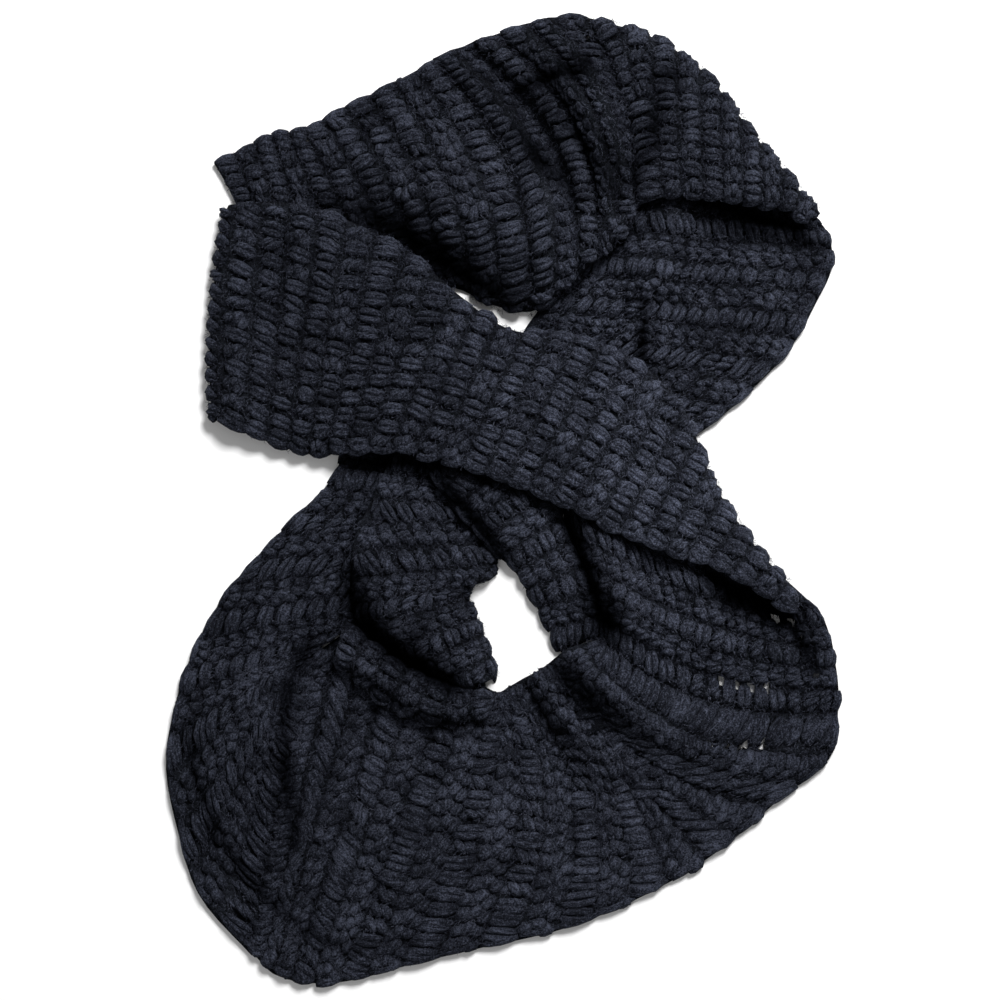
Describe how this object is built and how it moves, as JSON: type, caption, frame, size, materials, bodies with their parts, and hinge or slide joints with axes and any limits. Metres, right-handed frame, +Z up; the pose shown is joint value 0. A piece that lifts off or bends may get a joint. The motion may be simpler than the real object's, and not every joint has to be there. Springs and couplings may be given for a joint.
{
  "type": "infinity scarf",
  "caption": "Chunky crocheted loop scarf laid flat in a figure eight, with its band folded over itself at the crossing.",
  "frame": {"origin": "on the resting surface, under the middle of the laid scarf's bounding box", "axes": "+X to the right and +Y away from the viewer in the view from above, +Z up off the surface"},
  "size_m": [0.3841, 0.5536, 0.0268],
  "materials": {
    "yarn": "matte heathered wool"
  },
  "bodies": {
    "root": {"front_stretch": "yarn", "upper_left_stretch": "yarn", "pleated_turn": "yarn", "upper_right_stretch": "yarn", "right_stretch": "yarn", "lower_right_stretch": "yarn", "bottom_stretch": "yarn", "lower_left_stretch": "yarn", "inner_flap": "yarn", "flap_return": "yarn", "inner_strip": "yarn"}
  },
  "joints": []
}
